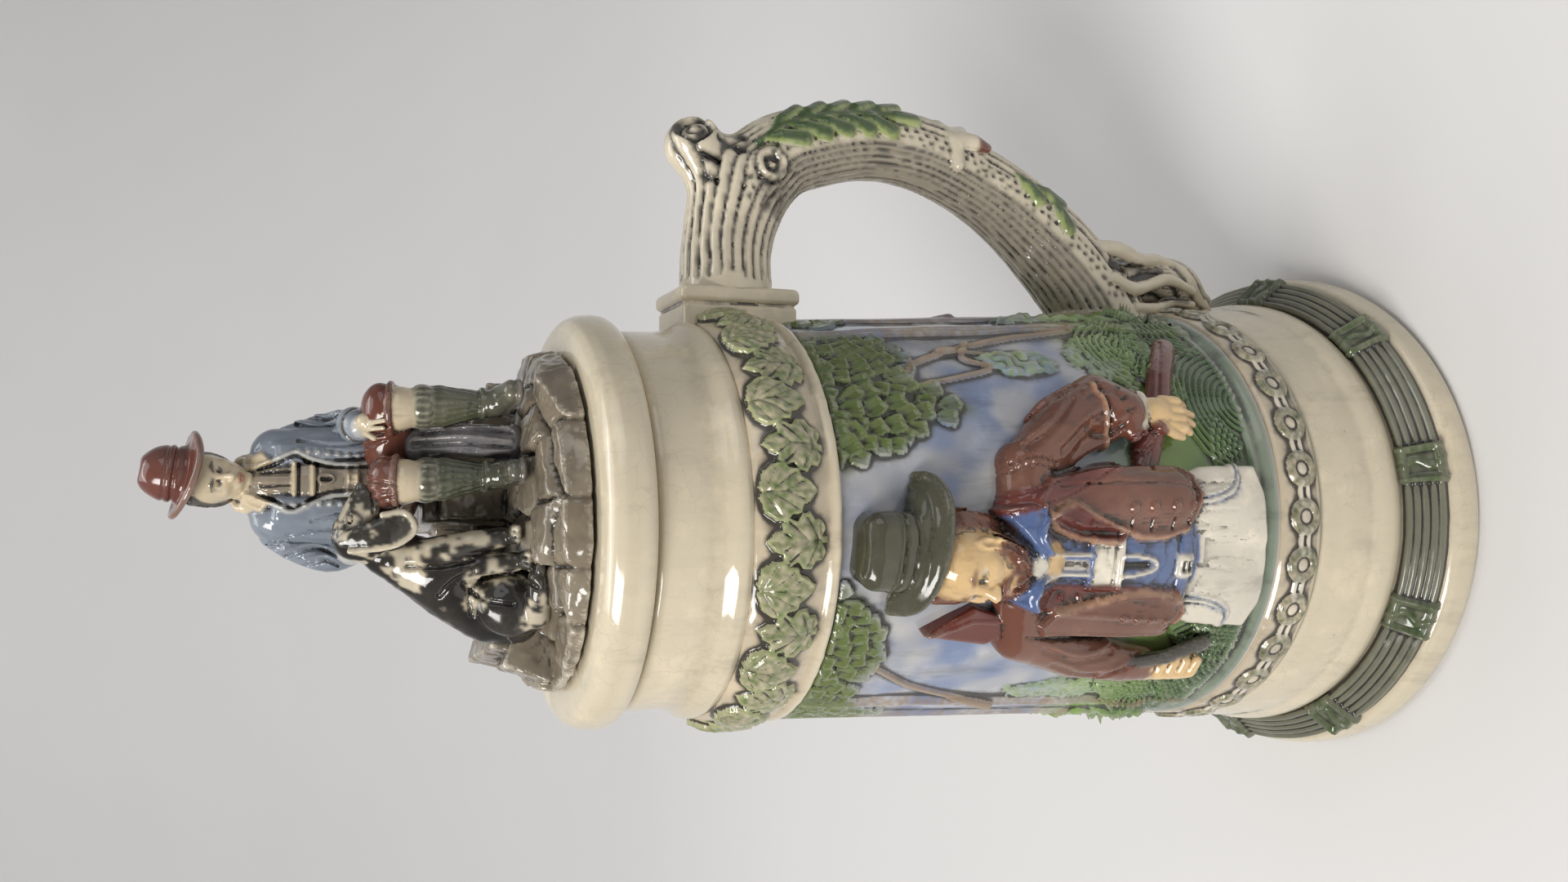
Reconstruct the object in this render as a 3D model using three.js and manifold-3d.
// Lidded beer stein in slip-cast, glazed earthenware: a tapered mug with raised decoration, a branch-shaped handle
// luted to it, and a loose lid that carries a seated hunter and a hound on a rocky mound.
// Millimetres, +Z up. The origin is the centre of the flat resting face. The handle points along +X and the front,
// with the large hunter relief, faces -Y.
import * as THREE from "three";
import { mergeVertices } from "three/addons/utils/BufferGeometryUtils.js";
import Module from "manifold-3d";

const wasm = await Module();
wasm.setup();

// Driving dimensions
const FOOT_RADIUS = 70.4; // widest radius, on the foot's rounded lip
const MUG_HEIGHT = 216; // resting face to rim
const RIM_RADIUS = 46.3; // outside of the plain collar under the rim
const MOUTH_RADIUS = 42; // inside of the mouth, where the lid's flange drops in
const SCENE_BOTTOM = 62; // height where the decorated barrel starts
const SCENE_TOP = 174.4; // height where the decorated barrel ends
const SCENE_BOTTOM_RADIUS = 55.3;
const SCENE_TOP_RADIUS = 49.1;
const FLOOR_THICKNESS = 6.5;
const JOINT_GAP = 0.3; // left between luted pieces
const LID_RADIUS = 49.8;
const LID_THICKNESS = 11.2;
const FLANGE_DEPTH = 10; // how far the lid's locating flange reaches into the mouth
const FLANGE_CLEARANCE = 0.8; // radial play of the flange in the mouth
const MOUND_RADIUS = 42;
const MOUND_TOP = 239; // level ground under the hunter's boots
const ROUND_SEGMENTS = 48;
const LIMB_SEGMENTS = 12;

const LID_BOTTOM = MUG_HEIGHT + JOINT_GAP;
const LID_TOP = LID_BOTTOM + LID_THICKNESS;

// Glaze colours, one material per finish
const glaze = (name, color) =>
  new THREE.MeshStandardMaterial({ name, color, roughness: 0.15, metalness: 0 });
const CREAM = glaze("cream_glaze", 0xd8cdb4);
const LEAF_GREEN = glaze("leaf_green_glaze", 0x6f8250);
const MOSS_GREEN = glaze("moss_green_glaze", 0x4d5640);
const BARK = glaze("bark_glaze", 0xb9b09c);
const BROWN = glaze("brown_glaze", 0x6b4034);
const ROCK_GREY = glaze("rock_grey_glaze", 0x7b7264);
const JACKET_BLUE = glaze("jacket_blue_glaze", 0x8e99ac);
const SKIN = glaze("skin_glaze", 0xd8bd98);
const HAT_RED = glaze("hat_red_glaze", 0x80402e);
const STOCKING_GREEN = glaze("stocking_green_glaze", 0x4b5238);
const HOUND_BLACK = glaze("hound_black_glaze", 0x2b2723);

// ---- Solids -------------------------------------------------------------------------------------------------

function solidOf(geometry) {
  const plain = geometry.clone();
  plain.deleteAttribute("normal");
  plain.deleteAttribute("uv");
  const merged = mergeVertices(plain, 1e-4);
  const solid = new wasm.Manifold(
    new wasm.Mesh({
      numProp: 3,
      vertProperties: new Float32Array(merged.attributes.position.array),
      triVerts: new Uint32Array(merged.index.array),
    }),
  );
  if (solid.volume() < 0) throw new Error("a profile runs the wrong way round");
  return solid;
}

function geometryOf(solid) {
  const mesh = solid.getMesh();
  const geometry = new THREE.BufferGeometry();
  geometry.setAttribute("position", new THREE.BufferAttribute(mesh.vertProperties, 3));
  geometry.setIndex(new THREE.BufferAttribute(mesh.triVerts, 1));
  return geometry;
}

const union = (solids) => solids.reduce((sum, solid) => sum.add(solid));
const without = (solid, ...cutters) => cutters.reduce((left, cutter) => left.subtract(cutter), solid);

// The largest body of a trimmed solid, without the slivers that trimming can shed.
const mainBody = (solid) => solid.decompose().sort((a, b) => b.volume() - a.volume())[0];

// A body of revolution about Z. The profile lists [radius, height], up the outside.
function turned(profile, segments = ROUND_SEGMENTS) {
  const points = profile.map(([r, z]) => new THREE.Vector2(r, z));
  return solidOf(new THREE.LatheGeometry(points, segments).rotateX(Math.PI / 2));
}

// A ring that closes on itself, from its outside and inside profiles, both listed upwards.
const ring = (outside, inside, segments) =>
  turned([...outside, ...[...inside].reverse(), outside[0]], segments);

function block([x0, y0, z0], [x1, y1, z1], grow = 0) {
  const size = [x1 - x0, y1 - y0, z1 - z0].map((side) => side + 2 * grow);
  return solidOf(
    new THREE.BoxGeometry(...size).translate((x0 + x1) / 2, (y0 + y1) / 2, (z0 + z1) / 2),
  );
}

// A rounded limb from a to b whose radius runs from ra to rb.
function limb(a, b, ra, rb, grow = 0) {
  const from = new THREE.Vector3(...a);
  const along = new THREE.Vector3(...b).sub(from);
  const length = along.length();
  const profile = [];
  for (let i = 0; i <= 3; i++) {
    const angle = (-Math.PI / 2) * (1 - i / 3);
    profile.push([Math.cos(angle) * (ra + grow), Math.sin(angle) * (ra + grow)]);
  }
  for (let i = 0; i <= 3; i++) {
    const angle = (Math.PI / 2) * (i / 3);
    profile.push([Math.cos(angle) * (rb + grow), length + Math.sin(angle) * (rb + grow)]);
  }
  profile[0][0] = 0;
  profile[profile.length - 1][0] = 0;
  const points = profile.map(([r, y]) => new THREE.Vector2(r, y));
  const turn = new THREE.Quaternion().setFromUnitVectors(
    new THREE.Vector3(0, 1, 0),
    along.normalize(),
  );
  return solidOf(
    new THREE.LatheGeometry(points, LIMB_SEGMENTS).applyQuaternion(turn).translate(...a),
  );
}

// An egg-shaped lump with its own half sizes, tilted about Y.
function lump(centre, halfSizes, tiltDegrees = 0, grow = 0) {
  const [rx, ry, rz] = halfSizes.map((half) => half + grow);
  return solidOf(
    new THREE.SphereGeometry(1, LIMB_SEGMENTS, 8)
      .scale(rx, ry, rz)
      .rotateY((tiltDegrees * Math.PI) / 180)
      .translate(...centre),
  );
}

// A round bar along a smooth curve through [x, z, radius] stations in the plane y = 0.
function branch(stations, steps, sides, flatten = 1) {
  const curve = new THREE.CatmullRomCurve3(stations.map(([x, z]) => new THREE.Vector3(x, 0, z)));
  const circle = new THREE.Shape().absarc(0, 0, 1, 0, 2 * Math.PI);
  const geometry = new THREE.ExtrudeGeometry(circle, {
    steps,
    curveSegments: sides,
    extrudePath: curve,
    bevelEnabled: false,
  });
  const centres = curve.getSpacedPoints(steps);
  const lengths = stations.map(([x, z]) => nearestIndex(centres, new THREE.Vector3(x, 0, z)));
  const radiusAt = (index) => {
    let k = 0;
    while (k < lengths.length - 2 && index > lengths[k + 1]) k++;
    const share = (index - lengths[k]) / (lengths[k + 1] - lengths[k]);
    return THREE.MathUtils.lerp(stations[k][2], stations[k + 1][2], share);
  };
  const position = geometry.getAttribute("position");
  const vertex = new THREE.Vector3();
  for (let i = 0; i < position.count; i++) {
    vertex.fromBufferAttribute(position, i);
    const index = nearestIndex(centres, vertex);
    const radius = radiusAt(index);
    vertex.sub(centres[index]).multiplyScalar(radius);
    vertex.y *= flatten;
    vertex.add(centres[index]);
    position.setXYZ(i, vertex.x, vertex.y, vertex.z);
  }
  return solidOf(geometry);
}

function nearestIndex(points, point) {
  let best = 0;
  points.forEach((p, i) => {
    if (p.distanceToSquared(point) < points[best].distanceToSquared(point)) best = i;
  });
  return best;
}

// ---- Mug ----------------------------------------------------------------------------------------------------

// The outside of the mug from the resting face to the rim, recessed where each raised band is luted on.
const BAND_SEAT = 1.8; // depth of each band's seat
const FOOT_BAND = { low: [68.6, 10.4], high: [61.6, 18.2] };
const CHAIN_BAND = { bottom: 44, top: 54.2, radius: 58.9 };
const LEAF_BAND = { bottom: 178.2, top: 195.2, radius: 52.3 };

const sceneRadius = (z) =>
  THREE.MathUtils.mapLinear(z, SCENE_BOTTOM, SCENE_TOP, SCENE_BOTTOM_RADIUS, SCENE_TOP_RADIUS);

function mugOutside(grow = 0) {
  const seat = 1.7;
  return [
    [FOOT_RADIUS - 1.9, 0],
    [FOOT_RADIUS, 2.6],
    [FOOT_RADIUS - 0.6, 8],
    [FOOT_BAND.low[0] + 0.6, FOOT_BAND.low[1] - 0.6],
    [FOOT_BAND.low[0] - seat, FOOT_BAND.low[1] - seat + 0.8],
    [FOOT_BAND.high[0] - seat + 0.8, FOOT_BAND.high[1] - seat],
    [FOOT_BAND.high[0] - 0.9, FOOT_BAND.high[1] + 1.2],
    [60.6, 24],
    [59.6, 32],
    [58.5, 39],
    [58.6, CHAIN_BAND.bottom - JOINT_GAP],
    [CHAIN_BAND.radius - BAND_SEAT - JOINT_GAP, CHAIN_BAND.bottom - JOINT_GAP],
    [CHAIN_BAND.radius - BAND_SEAT - JOINT_GAP, CHAIN_BAND.top + JOINT_GAP],
    [57.9, CHAIN_BAND.top + JOINT_GAP],
    [57.2, 57],
    [SCENE_BOTTOM_RADIUS, SCENE_BOTTOM],
    [SCENE_TOP_RADIUS, SCENE_TOP],
    [51.2, SCENE_TOP + 1.1],
    [51.2, LEAF_BAND.bottom - JOINT_GAP],
    [LEAF_BAND.radius - 3.8 - JOINT_GAP, LEAF_BAND.bottom - JOINT_GAP],
    [LEAF_BAND.radius - 3.8 - JOINT_GAP, LEAF_BAND.top + JOINT_GAP],
    [49.5, LEAF_BAND.top + JOINT_GAP],
    [49.4, 197.4],
    [47.4, 200.2],
    [RIM_RADIUS, 205],
    [RIM_RADIUS, MUG_HEIGHT - 1.4],
    [RIM_RADIUS - 0.8, MUG_HEIGHT],
  ].map(([r, z]) => [r + grow, z]);
}

const MUG_INSIDE = [
  [0, FLOOR_THICKNESS],
  [57, FLOOR_THICKNESS],
  [60.2, 10],
  [55.8, 20],
  [54.2, 34],
  [52.4, 46],
  [51.6, SCENE_BOTTOM],
  [45, SCENE_TOP],
  [MOUTH_RADIUS + 0.4, 190],
  [MOUTH_RADIUS, 200],
  [MOUTH_RADIUS, MUG_HEIGHT - 0.6],
  [MOUTH_RADIUS + 0.6, MUG_HEIGHT],
];

function mugBody() {
  return turned([[0, 0], ...mugOutside(), ...[...MUG_INSIDE].reverse()]);
}

// A solid of the mug's outside and its chain band grown a little, for trimming what is luted to it.
function mugTrimmer() {
  const outside = mugOutside(JOINT_GAP);
  const { bottom, top, radius } = CHAIN_BAND;
  const overBand = [
    [0, bottom - JOINT_GAP],
    [radius + JOINT_GAP, bottom - JOINT_GAP],
    [radius + JOINT_GAP, top + JOINT_GAP],
    [0, top + JOINT_GAP],
  ];
  return turned([[0, -1], [outside[0][0], -1], ...outside, [0, MUG_HEIGHT]]).add(turned(overBand));
}

function footBand() {
  const { low, high } = FOOT_BAND;
  return ring(
    [
      [low[0] - 0.5, low[1] + 0.1],
      [low[0] + 0.2, low[1] + 1.2],
      [high[0] + 1.6, high[1] + 0.6],
      [high[0] - 0.2, high[1] - 0.2],
    ],
    [
      [low[0] - 0.9, low[1] - 0.2],
      [high[0] - 0.4, high[1] - 0.9],
    ],
  );
}

function chainBand() {
  const { bottom, top, radius } = CHAIN_BAND;
  return ring(
    [
      [radius - 0.6, bottom],
      [radius, bottom + 1.2],
      [radius, top - 1.2],
      [radius - 0.9, top],
    ],
    [
      [radius - BAND_SEAT, bottom],
      [radius - BAND_SEAT, top],
    ],
  );
}

function leafBand() {
  const { bottom, top, radius } = LEAF_BAND;
  const inner = radius - 3.8;
  return ring(
    [
      [radius - 1.6, bottom],
      [radius - 0.3, bottom + 4],
      [radius, bottom + 8.5],
      [radius - 0.7, bottom + 13],
      [radius - 2.6, top],
    ],
    [
      [inner, bottom],
      [inner, top],
    ],
  );
}

// A point on the barrel, from its angle round the front (towards +X), height and height above the surface.
function onBarrel(degrees, z, proud) {
  const angle = (degrees * Math.PI) / 180;
  const radius = sceneRadius(z) + proud;
  return [radius * Math.sin(angle), -radius * Math.cos(angle), z];
}

// Rounded rolls of the relief: [angle, height] of each end, then the two radii.
const RELIEF_ROLLS = [
  [[-36, 124], [12, 125], 9, 9], // shoulders
  [[-28, 116], [-27, 84], 9.5, 9], // jacket fronts
  [[-13, 118], [-13, 82], 9.5, 8],
  [[0, 116], [2, 84], 9.5, 9],
  [[-24, 76], [-25, 62], 9, 7.5], // trousers
  [[-12, 76], [-12, 62], 8.5, 7],
  [[1, 78], [2, 62], 9, 7.5],
  [[-38, 122], [-47, 98], 8, 7], // right arm and fist
  [[-47, 98], [-51, 78], 7, 5.5],
  [[-51, 76], [-50.5, 69], 5.6, 5],
  [[14, 122], [34, 102], 8, 7], // left arm and hand
  [[34, 102], [28, 86], 6.6, 5],
  [[27.6, 84], [25.4, 77], 5, 4],
  [[-37, 146], [-32, 126], 4.5, 5], // gun butt
  [[-13, 132], [-14, 144], 9.6, 8.6], // head
  [[-26, 157], [7, 153], 4.6, 4.6], // hat brim and crown
  [[-16, 160], [-3, 160], 9, 9],
];

// The half figure of a hunter that stands out of the barrel's front.
function hunterRelief(trimmer) {
  const rolls = RELIEF_ROLLS.map(([from, to, ra, rb]) => {
    return limb(onBarrel(...from, 1), onBarrel(...to, 1), ra, rb);
  });
  return mainBody(without(union(rolls), trimmer));
}

// ---- Handle -------------------------------------------------------------------------------------------------

const SOCKET = { low: [44, -11.5, 166.8], high: [57, 11.5, 198.4] };
const handleSocketBlock = (grow = 0) => block(SOCKET.low, SOCKET.high, grow);

// Stations run from the socket, over the top and down to the root on the barrel: [x, z, radius].
const HANDLE_STATIONS = [
  [57.4, 183, 12.4],
  [70, 182.4, 12.2],
  [83, 178.6, 13],
  [93.6, 169, 11.6],
  [98.6, 156.6, 11],
  [101, 141.6, 10.4],
  [99.6, 126.4, 10.6],
  [94, 110.4, 11],
  [85.4, 95.4, 12],
  [75, 82.6, 13],
  [63, 71.6, 13.4],
  [50, 63, 13.4],
];
const TAIL_STATIONS = [
  [66, 62, 7],
  [68.6, 50, 7],
  [67.4, 39, 7.4],
  [62.5, 32, 5],
];

function handle(trimmer) {
  const grip = branch(HANDLE_STATIONS, 40, 14, 0.94);
  const stub = limb([84, 0, 178], [95.4, 0, 193], 9.5, 7.4);
  const tail = branch(TAIL_STATIONS, 10, 12, 1.1);
  const floor = block([40, -30, -10], [90, 30, 24]);
  const whole = union([grip, stub, tail]);
  return mainBody(without(whole, trimmer, handleSocketBlock(JOINT_GAP), floor));
}

// ---- Lid ----------------------------------------------------------------------------------------------------

const LID_HOLE_RADIUS = 30; // the plate is open under the mound, as the casting is hollow

// The plate and, below it, the flange that drops into the mug's mouth.
function lidPlate() {
  const flange = MOUTH_RADIUS - FLANGE_CLEARANCE;
  const flangeBottom = LID_BOTTOM - FLANGE_DEPTH;
  return ring(
    [
      [flange - 1, flangeBottom],
      [flange, flangeBottom + 1.5],
      [flange, LID_BOTTOM],
      [LID_RADIUS - 1.4, LID_BOTTOM],
      [LID_RADIUS - 0.4, LID_BOTTOM + 1.6],
      [LID_RADIUS, LID_BOTTOM + 5],
      [LID_RADIUS - 0.7, LID_BOTTOM + 8.2],
      [LID_RADIUS - 3, LID_BOTTOM + 10.4],
      [LID_RADIUS - 6, LID_TOP],
    ],
    [
      [flange - 4.6, flangeBottom],
      [flange - 4.6, LID_BOTTOM + 3],
      [LID_HOLE_RADIUS, LID_BOTTOM + 5.5],
      [LID_HOLE_RADIUS, LID_TOP],
    ],
  );
}

// The mound's broken edge: how far its rim stands in or out at each angle.
const ragged = (angle) => 1 + 0.035 * Math.sin(5 * angle + 0.6) + 0.02 * Math.sin(11 * angle);

function mound(grow = 0) {
  const base = LID_TOP + JOINT_GAP;
  const profile = [
    [0, base - grow],
    [MOUND_RADIUS, base - grow],
    [MOUND_RADIUS - 1.5, base + 4],
    [MOUND_RADIUS - 7, base + 8],
    [MOUND_RADIUS - 14, MOUND_TOP],
    [0, MOUND_TOP],
  ].map(([r, z], i) => [r > 0 ? r + grow : 0, i > 1 ? z + grow : z]);
  const geometry = new THREE.LatheGeometry(
    profile.map(([r, z]) => new THREE.Vector2(r, z)),
    30,
  ).rotateX(Math.PI / 2);
  const position = geometry.getAttribute("position");
  for (let i = 0; i < position.count; i++) {
    const factor = ragged(Math.atan2(position.getY(i), position.getX(i)));
    position.setXYZ(i, position.getX(i) * factor, position.getY(i) * factor, position.getZ(i));
  }
  return solidOf(geometry);
}

// Boulders on the mound: [centre, half sizes, turn about Z in degrees].
const BOULDERS = [
  [[-25, 6, 234], [10, 14, 11], 15],
  [[2, 24, 235], [22, 10, 12], 5],
];
const SEAT_BOULDER = [[10, 9.5, 249.5], [13, 10.5, 11.5], 8];

function boulder([centre, halfSizes, turn], grow = 0) {
  const [rx, ry, rz] = halfSizes.map((half) => half + grow);
  return solidOf(
    new THREE.DodecahedronGeometry(1.07, 0)
      .scale(rx, ry, rz)
      .rotateZ((turn * Math.PI) / 180)
      .translate(...centre),
  );
}

function rockMound() {
  const base = LID_TOP + JOINT_GAP;
  const hollow = turned(
    [
      [0, base - 20],
      [LID_HOLE_RADIUS - 1, base - 20],
      [LID_HOLE_RADIUS - 1, base],
      [LID_HOLE_RADIUS - 5, base + 5],
      [0, base + 6],
    ],
    24,
  );
  const under = block([-60, -60, base - 20], [60, 60, base]);
  const lumps = BOULDERS.map((stone) => boulder(stone));
  const whole = union([mound(), ...lumps]);
  return without(whole, hollow, under, boulder(SEAT_BOULDER, JOINT_GAP));
}

// Everything rocky, grown, for trimming what sits on it.
const rockTrimmer = () =>
  union([mound(JOINT_GAP), ...BOULDERS.map((stone) => boulder(stone, JOINT_GAP)), boulder(SEAT_BOULDER, JOINT_GAP)]);

const rockSeat = () => without(boulder(SEAT_BOULDER), block([-60, -60, 200], [60, 60, MOUND_TOP + JOINT_GAP]));

// ---- Figures ------------------------------------------------------------------------------------------------

// Each figure piece is a function of grow, so that the same shape, grown by the gap, trims the piece beside it.
const FIGURES = {
  hunter_torso: (grow) =>
    union([
      lump([9, 3.5, 268], [10, 7, 6.5], 0, grow),
      limb([9, 3.5, 270], [8, 2.5, 289], 8.4, 8.2, grow),
      limb([0.6, 2.5, 291], [15.8, 2.5, 291], 5, 5, grow),
      limb([8.4, 1.5, 294], [9.4, 0.4, 299], 3.4, 3.2, grow),
    ]),
  hunter_head: (grow) => lump([10.4, -2.2, 304.2], [5.4, 5.8, 6.6], 8, grow),
  hunter_hat: (grow) =>
    union([
      lump([11.6, -1.4, 311.8], [6.3, 6.6, 6.6], 0, grow),
      lump([11.2, -1.6, 310], [9.4, 10, 2], 12, grow),
    ]),
  hunter_right_arm: (grow) =>
    union([
      limb([-3.6, 3, 290], [-7.6, 5, 278.6], 4.4, 3.8, grow),
      limb([-7.6, 5, 278.6], [-4.6, -3, 274.4], 3.8, 3, grow),
    ]),
  hunter_left_arm: (grow) =>
    union([
      limb([20, 3, 290], [24, 5, 277.6], 4.4, 3.9, grow),
      limb([24, 5, 277.6], [21.6, -6.6, 273.6], 3.9, 3, grow),
      limb([21.6, -6.6, 273.6], [23, -11.4, 272], 2.6, 2, grow),
    ]),
  hunter_right_leg: (grow) =>
    union([
      limb([5, 0, 265.4], [9, -14.6, 265.4], 6.2, 5.2, grow),
      limb([9, -15, 264.6], [10.4, -16.4, 244.6], 4.5, 3.2, grow),
      limb([10.4, -15.8, 242.2], [11.2, -22.4, 241.6], 3, 2.4, grow),
    ]),
  hunter_left_leg: (grow) =>
    union([
      limb([14, 0, 265.4], [26, -11.4, 266], 6.2, 5.4, grow),
      limb([26.2, -12, 265], [27, -12.6, 244.6], 4.6, 3.2, grow),
      limb([27, -12, 242.2], [29, -19, 241.6], 3, 2.4, grow),
    ]),
  folded_coat: (grow) =>
    union([
      limb([17.6, -9, 258], [18.4, -12, 245], 4.6, 5.2, grow),
      limb([18.2, -11, 244], [18.2, -11, 242], 5.6, 5.6, grow),
    ]),
  hound_body: (grow) =>
    union([
      limb([-20, -6, 243.6], [-6.4, -9.4, 263], 8.6, 6.6, grow),
      lump([-17.4, -12.6, 241.6], [7.2, 4.6, 8.4], 20, grow),
      limb([-5, -12, 260], [-2.2, -14.4, 243], 3.6, 2, grow),
      limb([-14, -18, 237.6], [-8.4, -19.6, 236.6], 2.2, 2, grow),
    ]),
  hound_head: (grow) =>
    union([
      limb([-4.4, -10.4, 268], [-2, -11, 274.4], 5, 5.2, grow),
      limb([-1, -11.4, 274.6], [6.2, -12.6, 272.6], 4, 2.4, grow),
      lump([-1.4, -16, 269.4], [3.2, 1.6, 5.6], -18, grow),
    ]),
};

// Pieces are trimmed in this order, each by all those before it.
const FIGURE_ORDER = [
  "hunter_torso",
  "hunter_head",
  "hunter_hat",
  "hunter_right_leg",
  "hunter_left_leg",
  "hunter_left_arm",
  "folded_coat",
  "hound_body",
  "hound_head",
  "hunter_right_arm",
];

function figures() {
  const rock = rockTrimmer();
  const made = {};
  FIGURE_ORDER.forEach((name, i) => {
    const neighbours = FIGURE_ORDER.slice(0, i).map((before) => FIGURES[before](JOINT_GAP));
    made[name] = mainBody(without(FIGURES[name](0), rock, ...neighbours));
  });
  return made;
}

// ---- Assembly -----------------------------------------------------------------------------------------------

const stein = new THREE.Group();
const mugGroup = new THREE.Group();
const lidGroup = new THREE.Group();
stein.add(mugGroup, lidGroup);

function place(group, name, solid, material) {
  const mesh = new THREE.Mesh(geometryOf(solid), material);
  mesh.name = name;
  group.add(mesh);
}

const trimmer = mugTrimmer();
place(mugGroup, "mug_body", mugBody(), CREAM);
place(mugGroup, "foot_band", footBand(), MOSS_GREEN);
place(mugGroup, "chain_band", chainBand(), MOSS_GREEN);
place(mugGroup, "leaf_band", without(leafBand(), handleSocketBlock(JOINT_GAP)), LEAF_GREEN);
place(mugGroup, "hunter_relief", hunterRelief(trimmer), BROWN);
place(mugGroup, "handle_socket", without(handleSocketBlock(), trimmer), CREAM);
place(mugGroup, "handle", handle(trimmer), BARK);

place(lidGroup, "lid_plate", lidPlate(), CREAM);
place(lidGroup, "rock_mound", rockMound(), ROCK_GREY);
place(lidGroup, "rock_seat", rockSeat(), ROCK_GREY);

const FIGURE_GLAZES = {
  hunter_torso: JACKET_BLUE,
  hunter_head: SKIN,
  hunter_hat: HAT_RED,
  hunter_right_arm: JACKET_BLUE,
  hunter_left_arm: JACKET_BLUE,
  hunter_right_leg: STOCKING_GREEN,
  hunter_left_leg: STOCKING_GREEN,
  folded_coat: JACKET_BLUE,
  hound_body: HOUND_BLACK,
  hound_head: HOUND_BLACK,
};
for (const [name, solid] of Object.entries(figures())) {
  place(lidGroup, name, solid, FIGURE_GLAZES[name]);
}

export default stein;
